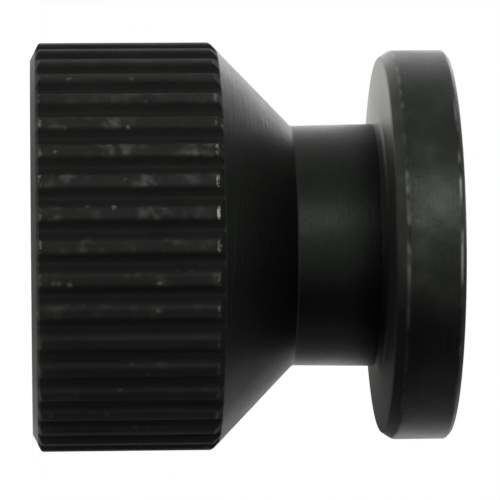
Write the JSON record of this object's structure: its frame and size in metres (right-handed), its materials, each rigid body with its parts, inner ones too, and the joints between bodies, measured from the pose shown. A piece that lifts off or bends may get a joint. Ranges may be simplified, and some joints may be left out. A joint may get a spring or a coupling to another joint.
{
  "type": "adjusting nut",
  "caption": "Adjusting nut turned in one piece: straight-knurled head, cone, plain neck and bevelled flange, tapped right through, for setting a threaded rod by hand.",
  "frame": {"origin": "middle of the knurled end face, on which the nut stands", "axes": "+Z along the tapped hole, from the knurled end to the flange; a ridge of the knurl faces each of +X, -X, +Y and -Y"},
  "size_m": [0.0204, 0.0204, 0.0208],
  "materials": {
    "black_oxide_steel": "black oxide on turned and knurled steel, rubbed to grey on the ridges and edges"
  },
  "bodies": {
    "root": {"adjusting_nut": "black_oxide_steel"}
  },
  "joints": []
}
